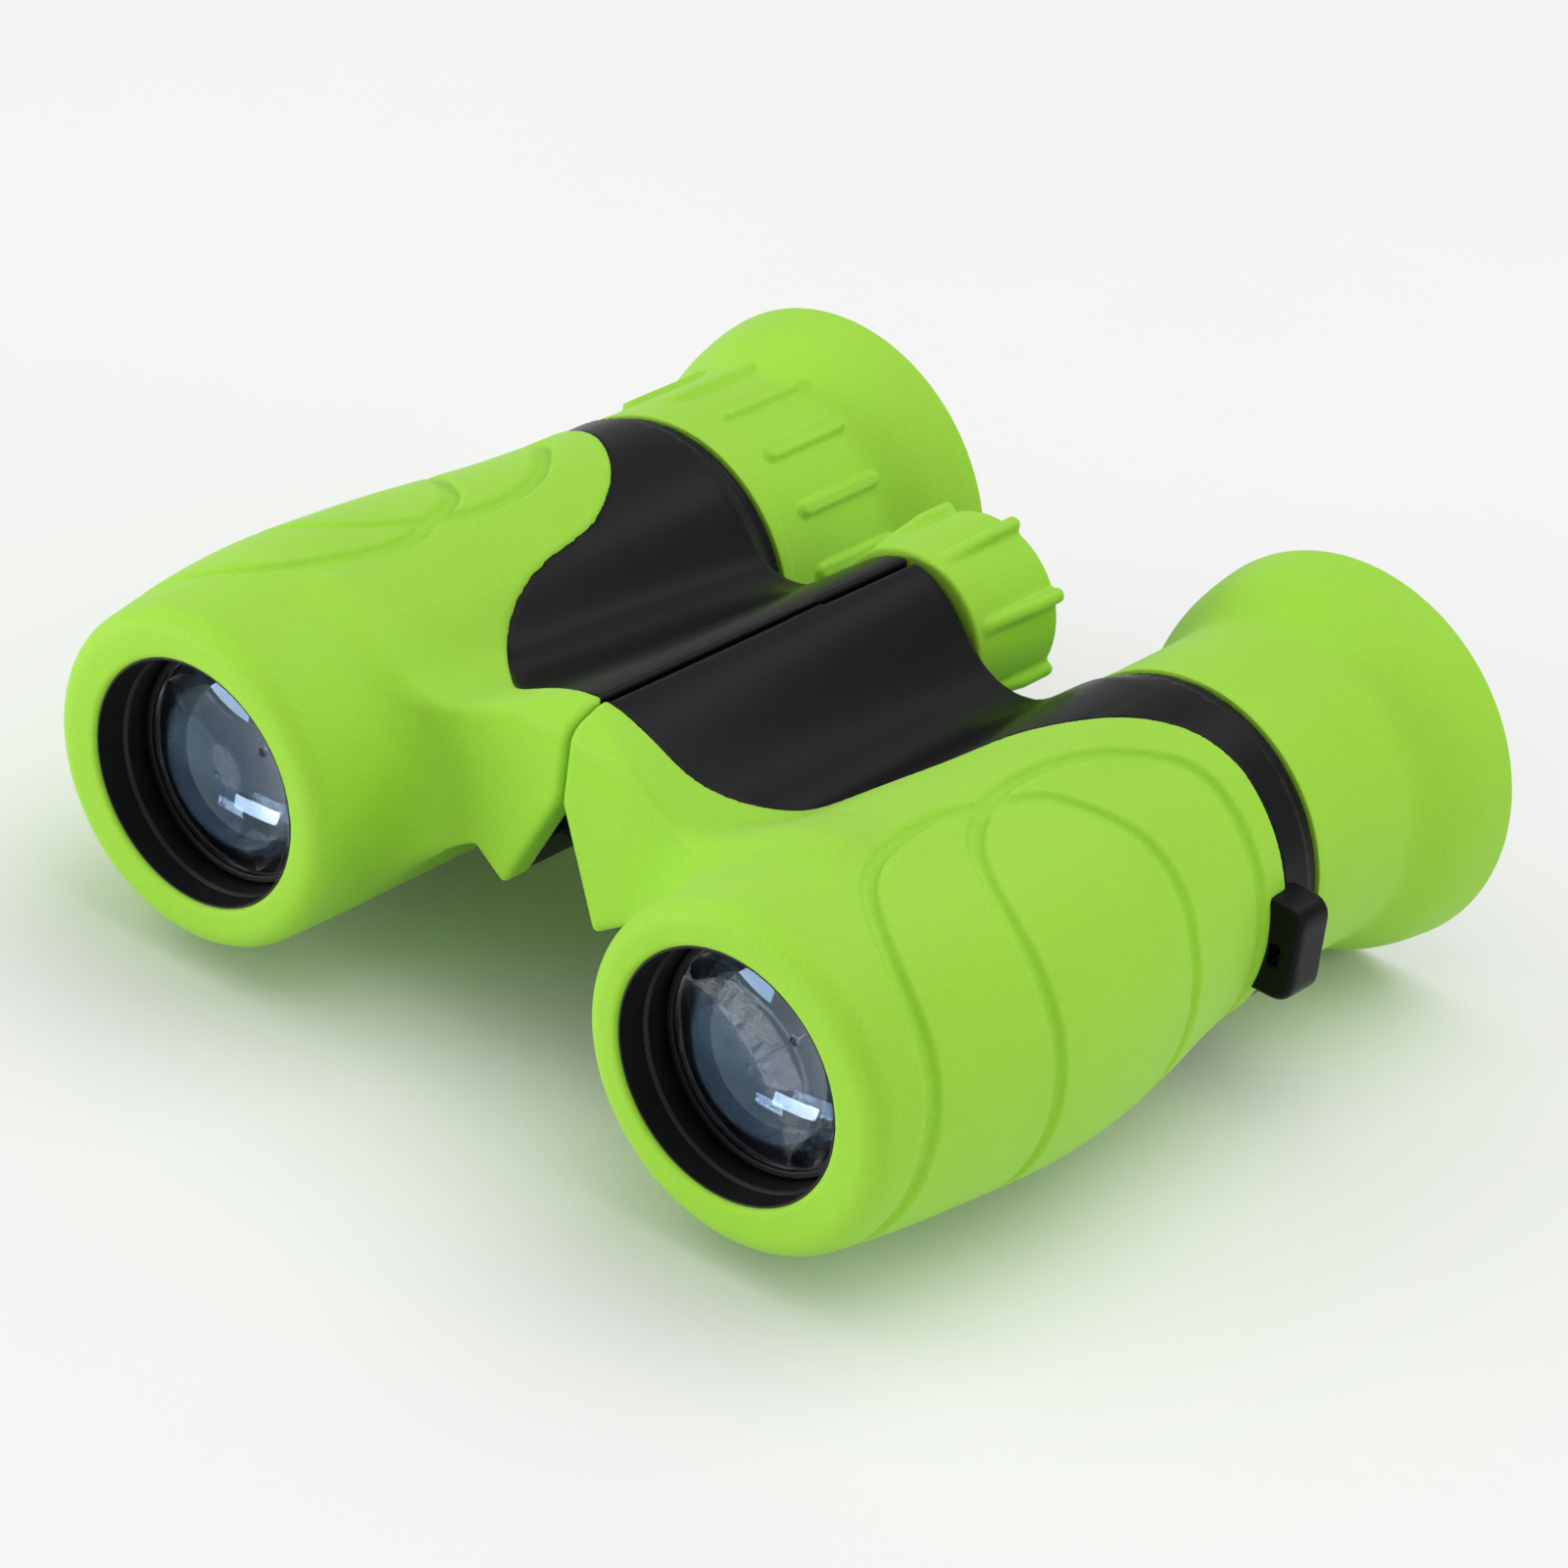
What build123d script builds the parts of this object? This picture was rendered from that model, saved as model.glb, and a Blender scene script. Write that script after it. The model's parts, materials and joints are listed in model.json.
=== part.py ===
from build123d import *
import math
import os

# Compact hinged roof-prism binoculars: two barrels on a centre hinge, a focus wheel on the
# hinge axis, a dioptre ring on the user's right eyepiece, rubber armour and rubber eyecups.
# Millimetres. X runs across (user's left is +X), Y from the objectives to the eyepieces, Z up.
# Every piece is drawn in the optical frame (Y = 0 at the front rims, Z = 0 on the optical
# axes) and moved to the row frame, whose origin is under the middle of the part, when written.

os.makedirs("parts", exist_ok=True)

# Driving dimensions
AXIS_X = 33.0                # optical axes, from the centre plane
HINGE_Z = 8.25               # hinge axis, above the optical axes
V_ANGLE = 25.0               # each side of the gap under the hinge, from the vertical
SEAM = 0.15                  # each half stays this far from the seam planes
FRONT_TILT = 3.0             # the front rims lean forward at the top, degrees
BORE_R = 12.6                # bore of the objective tube
MOUTH_R = BORE_R + 0.8       # hole in the rubber in front of it
TUBE_R = BORE_R + 1.6        # outside of the objective tube
CORE_R = 15.2                # outside of the housing under the rubber
RING_R = 16.4                # bare housing ring in front of the eyepiece
EYEPIECE_R = 16.6            # straight part of the eyepiece sleeve
RIM_R = 20.35                # eyecup rim
RIM_Y = 95.8                 # eyecup rim, from the front rims
EYEPIECE_Y = 68.5            # front end of the eyepiece sleeve
FLARE_Y = 82.8               # where the eyecup starts to flare
ARMOUR_END = 63.0            # rear edge of the rubber round the barrel
ARM_FRONT = 14.0             # front face of the bridge arms
ARM_REAR = 64.9              # rear face of the bridge arms
BEVEL_Y = 18.3               # rear edge of the bevel on the arms' front ends
BEVEL_Z = 17.9
BEVEL_ANGLE = 22.9
SKIN = 1.6                   # thickness of the rubber
KNUCKLE_R = 7.0              # hinge knuckles and the tube between them
COVER_BORE = 6.35            # inside of that tube
CAVITY_R = 7.3               # space round the hinge axis
FOLD = 46.0                  # how far the left half folds, degrees
PIN_R = 2.5                  # hinge pin and focus spindle
NECK_R = 4.0                 # neck of the focus nut, in both focus arms
NUT_R = 5.6                  # flange of the focus nut
BUSH_R = 4.2                 # rear hinge bush
RUNNING = 0.06               # radial clearance of a running fit
CLEAR = 0.4                  # gap between pieces that slide past each other
FOCUS_TRAVEL = 1.5           # objective carriage, each way
TUBE_BORE = 12.3             # bore in which the objective carriage slides
CELL_R = 11.9                # objective carriage
CELL_BORE = 10.4             # light path through the carriage and its arm
LENS_RING_R = 11.4           # seat of the objective lenses
PRISM_BORE = 13.6            # prism chamber
STUB_R = 14.4                # housing stub inside the eyepiece sleeve
SLEEVE_BORE = 14.8           # dioptre ring round the stub
SLEEVE_R = 15.4              # sleeve under the rubber eyecup
OCULAR_R = 12.6              # ocular tube
OCULAR_BORE = 13.0           # bore of the stub
WHEEL_R = 9.2                # focus wheel without its ribs
WHEEL_RIBS = 7
WHEEL_PHASE = 27             # degrees up from the user's left to the first rib
HUB_R = 7.0                  # hub inside the wheel's tyre
WHEEL_FRONT = 66.0
WHEEL_REAR = 78.2

# Barrel armour as circles: distance from the front, radius, centre outside and below the axis.
BARREL = ((-3, 16.3, 0.85, 0.25), (8, 17.55, 1.95, 0.3), (19, 18.0, 2.8, 0.45), (30, 17.9, 3.35, 1.1),
          (40, 17.55, 3.0, 1.2), (50, 16.95, 1.85, 1.0), (58, 16.6, 0.75, 0.55), (64, 16.5, 0.2, 0.15))

# Top of the bridge arm, from the seam to inside the barrel, at its front and rear ends.
TOP_FRONT = ((SEAM, 17.7), (7.0, 15.6), (12.3, 12.8), (16.0, 11.6), (20.0, 12.0), (24.0, 14.0))
TOP_REAR = ((SEAM, 17.3), (5.7, 14.6), (10.1, 10.4), (14.6, 8.9), (20.2, 11.0), (24.0, 14.0))

# Plan outline of the bare black saddle on one half, from the seam to the barrel's rear edge.
SADDLE = ((0, 18.9), (7, 19.3), (12.3, 21), (18.3, 26.9), (22.5, 33.3), (24.6, 40),
          (26.2, 48.5), (30.6, 56), (36, 61.3), (41, ARMOUR_END))

# Where things sit along Y
ARM_PLATE = 2.0              # thickness of a focus arm
LEFT_PLATE = 36.5            # front face of the left focus arm; the right one is behind it
RIGHT_PLATE = LEFT_PLATE + ARM_PLATE + 0.3
CELL_FRONT = 7.1
LENS_SEAT = 8.2
TUBE_FRONT = 1.0             # objective tube, front and rear ends
TUBE_END = 5.3
CHAMBER_FRONT = 43.2
CHAMBER_REAR = 66.0
STUB_END = 74.0
SLEEVE_END = 86.0
OCULAR_FRONT = 67.7
OCULAR_END = 82.6
BIG = 200.0


def section(y):
    """Plane across the barrels at y, with sketch axes X and Z."""
    return Plane(origin=(0, y, 0), x_dir=(1, 0, 0), z_dir=(0, -1, 0))


def rod(radius, y0, y1, x=0.0, z=0.0):
    """Cylinder along Y."""
    disc = Plane(origin=(x, y0, z), z_dir=(0, 1, 0)) * Circle(radius)
    return extrude(disc, y1 - y0)


def ring(r_in, r_out, y0, y1, x=0.0, z=0.0):
    """Tube along Y."""
    return rod(r_out, y0, y1, x, z) - rod(r_in, y0 - 1, y1 + 1, x, z)


def turned(points, x=AXIS_X, z=0.0):
    """Outline of (radius, y) points turned round an axis along Y."""
    return Pos(x, 0, z) * revolve(Polygon(*points, align=None), Axis.Y)


def block(x0, x1, y0, y1, z0, z1):
    """Box between corner coordinates."""
    middle = Pos((x0 + x1) / 2, (y0 + y1) / 2, (z0 + z1) / 2)
    return middle * Box(x1 - x0, y1 - y0, z1 - z0)


def lens(radius, y0, y1, front, rear):
    """Lens with its edge from y0 to y1; its faces bulge by front and rear, minus for hollow."""
    body = rod(radius, y0 - max(front, 0), y1 + max(rear, 0), AXIS_X)
    for edge, bulge, way in ((y0, front, 1), (y1, rear, -1)):
        curve = (radius ** 2 + bulge ** 2) / (2 * abs(bulge))
        inward = curve if bulge > 0 else -curve
        ball = Pos(AXIS_X, edge - way * bulge + way * inward, 0) * Sphere(curve)
        body = body & ball if bulge > 0 else body - ball
    return body


def arm_section(y, top, drop):
    """Bridge arm section at y; drop shrinks it from the top and the underside."""
    v_slope = math.tan(math.radians(V_ANGLE))
    tip_z = -2.8 + drop
    tip_x = (HINGE_Z - tip_z) * v_slope + SEAM / math.cos(math.radians(V_ANGLE))
    crest = [(x, z - drop) for x, z in top]
    flat_z = drop - 3.0
    under = [crest[-1], (crest[-1][0], flat_z), (15, flat_z), (9.5, drop - 0.2), (tip_x, tip_z),
             (SEAM, HINGE_Z), crest[0]]
    return section(y) * make_face([Spline(*crest), Polyline(*under)])


def bridge_arm(y0, drop):
    """Solid arm from the seam into the barrel, bevelled at its front top edge."""
    arm = loft([arm_section(y0, TOP_FRONT, drop), arm_section(ARM_REAR, TOP_REAR, drop)])
    bevel = Pos(0, BEVEL_Y + drop, BEVEL_Z - drop) * Rot(X=BEVEL_ANGLE) * block(-1, 30, -20, 0, 0, 20)
    return arm - bevel


def barrel_skin():
    """Outside of the rubber barrel with its leaning front rim."""
    rings = []
    for y, radius, out, low in BARREL:
        rings.append(Plane(origin=(AXIS_X + out, y, -low), z_dir=(0, 1, 0)) * Circle(radius))
    body = loft(rings)
    lean = Pos(AXIS_X, 0, 0) * Rot(X=FRONT_TILT) * Pos(0, -10, 0) * Box(60, 20, 60)
    body = body - lean
    body = fillet(body.edges().sort_by(Axis.Y)[0], 2.2)
    return body + rod(RING_R, 3.0, ARMOUR_END, AXIS_X)


def saddle_region():
    """Space that the bare black plastic takes up on one half."""
    outline = Polyline(SADDLE[-1], (60, ARMOUR_END), (60, 70), (0, 70), SADDLE[0])
    plan = make_face([Spline(*SADDLE), outline])
    return extrude(plan, 30) + block(0, 60, ARMOUR_END, 70, -30, 1)


def focus_slot(y_plate, grow):
    """Bar from the hinge axis towards the optical axis, at the plane of a focus arm."""
    reach = math.hypot(AXIS_X, HINGE_Z)
    fall = math.degrees(math.atan2(HINGE_Z, AXIS_X))
    y0 = y_plate - grow * (FOCUS_TRAVEL + CLEAR)
    y1 = y_plate + ARM_PLATE + grow * (FOCUS_TRAVEL + CLEAR)
    half = 1.5 + grow * CLEAR
    bar = block(4.9, reach - 11, y0, y1, -half, half)
    return Pos(0, 0, HINGE_Z) * Rot(Y=fall) * bar


def knuckle(y0, y1, bore):
    """Hinge knuckle with the web that joins it to its own arm."""
    web = block(3.0, 8.2, y0, y1, HINGE_Z - 3.4, HINGE_Z + 3.4)
    return rod(KNUCKLE_R, y0, y1, 0, HINGE_Z) + web - rod(bore, y0 - 1, y1 + 1, 0, HINGE_Z)


def hinge_cover():
    """Tube between the knuckles, fixed to the right half, with windows for both focus arms."""
    y0 = 27.4
    y1 = 53.6
    tube = ring(COVER_BORE, KNUCKLE_R, y0, y1, 0, HINGE_Z)
    tab = block(-8, -6.5, 44, 53, HINGE_Z - 3, HINGE_Z + 3) & rod(CAVITY_R, y0, y1, 0, HINGE_Z)
    fall = math.degrees(math.atan2(HINGE_Z, AXIS_X))
    margin = 18.0
    far = 14.0
    spread = [-fall + margin - (FOLD + 2 * margin) * k / 3 for k in range(4)]
    pie = [(0, 0)] + [(far * math.cos(math.radians(a)), far * math.sin(math.radians(a))) for a in spread]
    reach = FOCUS_TRAVEL + CLEAR
    sweep = extrude(section(0) * Pos(0, HINGE_Z) * Polygon(*pie, align=None), BIG, both=True)
    left_window = sweep & block(-20, 20, LEFT_PLATE - reach, LEFT_PLATE + ARM_PLATE + reach, -20, 40)
    right_window = mirror(focus_slot(RIGHT_PLATE, 1), about=Plane.YZ)
    return tube + tab - left_window - right_window


def shell(plate, knuckles):
    """Housing and rubber armour of one half, drawn on the +X side."""
    outside = barrel_skin() + bridge_arm(ARM_FRONT, 0)
    core = rod(CORE_R, 2.6, ARMOUR_END, AXIS_X) + bridge_arm(ARM_FRONT + SKIN, SKIN)
    black = outside & saddle_region()
    rear = ring(OCULAR_BORE, RING_R, ARMOUR_END, 68.1, AXIS_X)
    stub = ring(OCULAR_BORE, STUB_R, 68.0, STUB_END, AXIS_X)
    lug = strap_lug()
    housing = core + (black & block(0, 60, 0, ARMOUR_END, -30, 30)) + rear + stub
    hollow = rod(TUBE_R, -2, TUBE_END, AXIS_X) + rod(TUBE_BORE, 5, CHAMBER_FRONT + 1, AXIS_X)
    hollow = hollow + rod(PRISM_BORE, CHAMBER_FRONT, CHAMBER_REAR, AXIS_X)
    hollow = hollow + rod(OCULAR_BORE, CHAMBER_REAR - 1, 90, AXIS_X)
    axis_space = rod(CAVITY_R, ARM_FRONT + 4, BIG, 0, HINGE_Z)
    housing = housing - hollow - axis_space - focus_slot(plate, 1)
    for piece in knuckles:
        housing = housing + piece
    mouth = rod(MOUTH_R, -5, 4, AXIS_X) + rod(TUBE_R, TUBE_FRONT, TUBE_END, AXIS_X)
    armour = outside - core - saddle_region() - axis_space - mouth - lug
    armour = armour - block(-1, 60, ARMOUR_END - 0.01, 80, -40, 40)
    return housing - lug, armour


def strap_lug():
    """Loop for the neck strap on the outer side of the barrel."""
    loop = block(46.5, 53.5, 62.0, 66.2, -6.8, 3.2)
    loop = fillet(loop.edges().filter_by(Axis.Y).group_by(Axis.X)[-1], 2.2)
    slot = block(49.9, 52.0, 60, 70, -5.0, 1.4)
    return loop - slot - rod(CORE_R, 60, 70, AXIS_X)


def objective_tube():
    """Black insert in the front of the barrel, with a ridge at its rear."""
    ridge = TUBE_END - 0.5
    return turned([(BORE_R, TUBE_FRONT), (TUBE_R, TUBE_FRONT), (TUBE_R, TUBE_END), (12.2, TUBE_END),
                   (12.2, ridge), (BORE_R, ridge)])


def objective_cell(plate):
    """Sliding tube that carries the objective lens."""
    seat = 15.0
    return turned([(LENS_RING_R, CELL_FRONT), (CELL_R, CELL_FRONT), (CELL_R, plate), (CELL_BORE, plate),
                   (CELL_BORE, seat), (LENS_RING_R, seat)])


def focus_arm(plate):
    """Flat plate from a ring on the focus nut to a ring behind the objective cell."""
    hub = rod(5.9, plate, plate + ARM_PLATE, 0, HINGE_Z)
    frame = rod(CELL_R, plate, plate + ARM_PLATE, AXIS_X)
    body = hub + frame + focus_slot(plate, 0)
    return body - rod(NECK_R + 0.3, 0, BIG, 0, HINGE_Z) - rod(CELL_BORE, 0, BIG, AXIS_X)


def prism_cage():
    """Round cage with a rectangular pocket for the prism pair."""
    y0 = CHAMBER_FRONT + 1.3
    y1 = CHAMBER_REAR - 0.5
    pocket = block(AXIS_X - 7.6, AXIS_X + 7.6, y0 + 1.2, y1 + 1, -9.6, 9.6)
    window = rod(7.4, 0, BIG, AXIS_X)
    return rod(PRISM_BORE, y0, y1, AXIS_X) - pocket - window


def prism(points):
    """Prism with a side outline of (y, z) points."""
    side = Plane(origin=(AXIS_X - 7.5, 0, 0), x_dir=(0, 1, 0), z_dir=(1, 0, 0))
    return extrude(side * Polygon(*points, align=None), 15, dir=(1, 0, 0))


def prism_pair():
    """Half-penta prism and roof prism of a straight-through erecting pair."""
    y0 = CHAMBER_FRONT + 2.7
    y1 = CHAMBER_REAR - 1.0
    high = 9.2
    lean = 12.4
    gap = 0.4
    half = prism([(y0, -high), (y0, high), (y0 + 6.0, high), (y0 + 6.0 + lean, -high)])
    block_prism = prism([(y1, high), (y1, -high), (y0 + 6.0 + lean + gap, -high), (y0 + 6.0 + gap, high)])
    side = 26.0
    roof_faces = Pos(AXIS_X, 0, side / math.sqrt(2) - high) * Rot(Y=45) * Box(side, BIG, side)
    return half, block_prism & roof_faces


def prism_clip():
    """Leaf spring across the rear of the prism cage."""
    return ring(7.6, 12.4, CHAMBER_REAR - 0.5, CHAMBER_REAR - 0.1, AXIS_X) & block(0, 60, 0, BIG, -9, 9)


def eyepiece_sleeve(bore):
    """Tube round the housing stub, closed at the rear but for the eye lens window."""
    flange = SLEEVE_END - 1.6
    return turned([(bore, EYEPIECE_Y), (SLEEVE_R, EYEPIECE_Y), (SLEEVE_R, SLEEVE_END), (8.4, SLEEVE_END),
                   (8.4, flange), (bore, flange)])


def eyecup(ribs):
    """Flared rubber eyecup, with grip bars on the one that turns."""
    outer = Spline((EYEPIECE_R, FLARE_Y), (17.7, 85.3), (19.05, 88.3), (RIM_R, RIM_Y - 0.6),
                   tangents=((0, 1), (0.15, 1)))
    band_r = EYEPIECE_R + 0.5
    wall = Polyline((RIM_R, RIM_Y - 0.6), (RIM_R - 0.6, RIM_Y), (19.0, RIM_Y), (17.2, 90.0),
                    (14.0, SLEEVE_END), (SLEEVE_R, SLEEVE_END), (SLEEVE_R, EYEPIECE_Y), (band_r, EYEPIECE_Y),
                    (band_r, EYEPIECE_Y + 1.4), (EYEPIECE_R, EYEPIECE_Y + 2.0), (EYEPIECE_R, FLARE_Y))
    cup = revolve(make_face([outer, wall]), Axis.Y)
    if ribs:
        bar = block(EYEPIECE_R - 0.4, EYEPIECE_R + 0.6, 73.0, 83.0, -0.75, 0.75)
        for step in range(16):
            cup = cup + Rot(Y=22.5 * step) * bar
    return Pos(AXIS_X, 0, 0) * cup


def ocular_tube():
    """Tube that carries the field lens and the eye lens."""
    return turned([(9.2, OCULAR_FRONT), (OCULAR_R, OCULAR_FRONT), (OCULAR_R, OCULAR_END), (8.2, OCULAR_END),
                   (8.2, 79), (7.4, 79), (7.4, 76), (9.2, 76)])


def wheel_grip():
    """Ribbed rubber tyre of the focus wheel."""
    shift = WHEEL_FRONT + 1.2
    edge_r = WHEEL_R - 0.8
    tyre = turned([(HUB_R, WHEEL_FRONT), (edge_r, WHEEL_FRONT), (edge_r, shift), (WHEEL_R, shift),
                   (WHEEL_R, WHEEL_REAR - 0.8), (edge_r, WHEEL_REAR), (HUB_R, WHEEL_REAR)], 0)
    rib = block(WHEEL_R - 0.5, WHEEL_R + 1.0, shift, WHEEL_REAR - 0.2, -0.8, 0.8)
    for step in range(WHEEL_RIBS):
        tyre = tyre + Rot(Y=-WHEEL_PHASE - 360 / WHEEL_RIBS * step) * rib
    return Pos(0, 0, HINGE_Z) * tyre


nodes = {}


def left(name, piece):
    """Piece of the user's left half, on the +X side."""
    nodes["left_" + name] = piece


def right(name, piece):
    """Piece of the user's right half, drawn on the +X side and mirrored."""
    nodes["right_" + name] = mirror(piece, about=Plane.YZ)


# Hinge: each half has a front and a rear knuckle; the pin and the bush belong to the right half.
front_right = (18.6, 22.6)
front_left = (23.2, 27.0)
rear_left = (54.0, 58.6)
rear_right = (58.8, 64.5)
left_knuckles = [knuckle(*front_left, PIN_R + RUNNING), knuckle(*rear_left, BUSH_R + RUNNING)]
right_knuckles = [knuckle(*front_right, PIN_R), knuckle(*rear_right, BUSH_R)]
nodes["hinge_pin"] = rod(PIN_R, 18.6, 27.6, 0, HINGE_Z)
nodes["hinge_washer"] = ring(PIN_R, 6.0, 22.65, 23.15, 0, HINGE_Z)
nodes["hinge_cover"] = hinge_cover()
nodes["hinge_bush"] = ring(PIN_R + RUNNING, BUSH_R, 53.8, 65.3, 0, HINGE_Z)

# Focus drive on the hinge axis
nodes["focus_spindle"] = rod(PIN_R, 29.0, WHEEL_REAR - 2.0, 0, HINGE_Z)
nodes["focus_wheel_hub"] = ring(PIN_R, HUB_R, WHEEL_FRONT + 0.2, WHEEL_REAR - 1.0, 0, HINGE_Z)
nodes["focus_wheel_cap"] = rod(HUB_R, WHEEL_REAR - 1.0, WHEEL_REAR - 0.3, 0, HINGE_Z)
nodes["focus_wheel_grip"] = wheel_grip()
neck_end = RIGHT_PLATE + ARM_PLATE + 0.3
nut_bore = PIN_R + 0.3
nut_end = neck_end + 1.6
flange_end = LEFT_PLATE - 0.3
nodes["focus_nut"] = turned([(nut_bore, 33.0), (NUT_R, 33.0), (NUT_R, flange_end), (NECK_R, flange_end),
                             (NECK_R, nut_end), (nut_bore, nut_end)], 0, HINGE_Z)
nodes["focus_nut_clip"] = ring(NECK_R, NUT_R, neck_end, neck_end + 0.8, 0, HINGE_Z)

for side, plate, knuckles, bore, ribs in ((left, LEFT_PLATE, left_knuckles, STUB_R, False),
                                          (right, RIGHT_PLATE, right_knuckles, SLEEVE_BORE, True)):
    housing, armour = shell(plate, knuckles)
    half_prism, roof_prism = prism_pair()
    sleeve_name = "dioptre_ring" if ribs else "eyepiece_sleeve"
    side("housing", housing)
    side("armour", armour)
    side("strap_lug", strap_lug())
    side("objective_tube", objective_tube())
    side("objective_cell", objective_cell(plate))
    side("objective_retainer", ring(10.9, LENS_RING_R, CELL_FRONT + 0.1, LENS_SEAT - 0.1, AXIS_X))
    side("crown_lens", lens(LENS_RING_R - 0.05, LENS_SEAT, 10.4, 0.9, 1.3))
    side("flint_lens", lens(LENS_RING_R - 0.05, 10.4, 14.4, -1.3, 0.2))
    side("focus_arm", focus_arm(plate))
    side("prism_cage", prism_cage())
    side("half_prism", half_prism)
    side("roof_prism", roof_prism)
    side("prism_clip", prism_clip())
    side(sleeve_name, eyepiece_sleeve(bore))
    side("eyecup", eyecup(ribs))
    side("ocular_tube", ocular_tube())
    side("field_lens", lens(9.15, 69.2, 72.0, 0.4, 1.0))
    side("eye_lens", lens(8.15, 79.2, 81.6, 0.6, 0.6))
    side("ocular_retainer", ring(8.0, 9.15, OCULAR_FRONT, OCULAR_FRONT + 0.9, AXIS_X))

# The row frame stands under the middle of the whole part.
whole = Compound(children=[Part(piece.wrapped) for piece in nodes.values()]).bounding_box()
to_row = Pos(-whole.center().X, -whole.center().Y, -whole.min.Z)
print("box", whole.min, whole.max)
for name, piece in nodes.items():
    placed = to_row * piece
    placed.label = name
    export_step(placed, f"parts/{name}.step")
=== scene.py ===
"""Looks of the compact hinged binoculars: rubber armour, black plastic body, coated optics.

Shapes are worked out in the optical frame in millimetres: X across (user's left is +X), Y from
the front rims to the eyecups, Z = 0 on the barrel axes. row() takes them to the row frame.
"""
import json
import math

import bpy
import numpy as np
from mathutils import Matrix, Vector


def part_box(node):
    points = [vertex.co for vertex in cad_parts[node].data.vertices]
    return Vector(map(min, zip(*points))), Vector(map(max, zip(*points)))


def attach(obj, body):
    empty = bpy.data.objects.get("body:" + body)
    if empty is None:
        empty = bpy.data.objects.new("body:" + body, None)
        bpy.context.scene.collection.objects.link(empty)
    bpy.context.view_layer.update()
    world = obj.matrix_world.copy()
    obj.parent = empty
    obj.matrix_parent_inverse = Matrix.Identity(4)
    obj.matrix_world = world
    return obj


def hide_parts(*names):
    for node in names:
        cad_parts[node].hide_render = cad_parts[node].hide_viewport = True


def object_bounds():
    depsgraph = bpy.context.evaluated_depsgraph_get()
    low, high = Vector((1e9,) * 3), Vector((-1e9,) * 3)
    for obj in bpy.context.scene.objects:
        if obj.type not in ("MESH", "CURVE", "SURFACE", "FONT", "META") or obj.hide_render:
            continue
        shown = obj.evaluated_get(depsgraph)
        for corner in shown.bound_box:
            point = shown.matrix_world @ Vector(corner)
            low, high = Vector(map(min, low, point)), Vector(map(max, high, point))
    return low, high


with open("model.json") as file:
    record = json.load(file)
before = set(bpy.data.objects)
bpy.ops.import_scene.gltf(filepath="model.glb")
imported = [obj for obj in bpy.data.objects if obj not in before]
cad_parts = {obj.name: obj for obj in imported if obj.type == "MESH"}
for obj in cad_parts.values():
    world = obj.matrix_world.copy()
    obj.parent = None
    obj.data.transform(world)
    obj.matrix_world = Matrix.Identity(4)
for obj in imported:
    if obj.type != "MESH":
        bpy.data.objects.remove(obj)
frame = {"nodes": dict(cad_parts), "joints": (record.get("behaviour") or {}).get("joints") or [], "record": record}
cad_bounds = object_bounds()
scene = bpy.context.scene

# ---------------------------------------------------------------- places taken from the frame
MM = 0.001
cup_low, cup_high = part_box("left_eyecup")
pivot = {joint["name"]: joint.get("pos_m") for joint in frame["joints"]}
RIM_Y = 95.8                                            # eyecup rim in the optical frame
ORIGIN = np.array([0, cup_high.y - RIM_Y * MM, (cup_low.z + cup_high.z) / 2])
AXIS_X = (cup_low.x + cup_high.x) / 2 / MM              # barrel axis from the centre plane
HINGE_Z = (pivot["fold"][2] - ORIGIN[2]) / MM           # hinge axis above the optical axes

# ---------------------------------------------------------------- driving dimensions, mm
SEAM = 0.15                   # each half stops this far from the centre plane
V_ANGLE = math.radians(25)    # the halves part below the hinge at this angle
FRONT_TILT = math.radians(3)  # lean of the front rims
RING_R = 16.4                 # bare housing ring in front of the eyepiece
PROUD = 0.2                   # rubber stands this far above the bare plastic
SKIN = 1.85                   # thickness of the rubber
BORE_R = 12.45                # black tube inside the front rim
MOUTH_R = 12.65               # opening of the rubber rim
TUBE_R = 14.2                 # outside of the black tube
LIP = 0.35                    # black tube starts this far inside the leaning rim
TUBE_STEP = 1.9               # rear of the tube's narrow nose
TUBE_END = 5.3                # rear of its wide collar
ARMOUR_END = 62.3
ARM_FRONT = 14.0              # front and rear of the bridge arm
ARM_REAR = 64.9
PLATE_END = 17.8              # rear of the rubber front plate of the bridge
BEVEL_Y = 18.3                # top edge of the bevel on the bridge's front
BEVEL_Z = 17.9
BEVEL = math.radians(22.9)    # its slope
KNUCKLE_R = 7.0
CAVITY_R = 7.3                # room for the knuckles
PIN_R = 2.5
BUSH_R = 4.2
PLATE = {"left": 36.5, "right": 38.8}                   # front of the focus arm's plate at rest
KNUCKLES = {"left": ((23.2, 27.0, PIN_R + 0.06), (54.0, 58.6, BUSH_R + 0.06)),
            "right": ((18.6, 22.6, PIN_R), (58.8, 64.5, BUSH_R))}    # front, rear, bore
LUG_LOW = (44.0, 59.3, -6.2)  # strap loop: corners of the block, then of its slot
LUG_HIGH = (54.0, 64.0, 4.3)
SLOT_LOW = (50.6, 58, -2.6)
SLOT_HIGH = (51.9, 70, -0.2)
TYRE_R = 9.05
TYRE_FRONT = 65.6
TYRE_REAR = 78.2
TYRE_RIBS = 7
TYRE_PHASE = 25.5             # first rib, degrees up from the user's left
BARS = 16                     # bars round the turning eyecup
BAR_PHASE = math.radians(-4.5)
BAR_MIDDLE = 79.2
BAR_HALF = 5.2                # half the length of its straight part
BAR_WIDE = 0.95
BAR_HIGH = 0.62
CUP_R = 16.6                  # tube of the eyecup
CUP_FRONT = 68.35
FLARE = {"left": 83.4, "right": 84.2}                   # where the eyecup starts to flare

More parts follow.
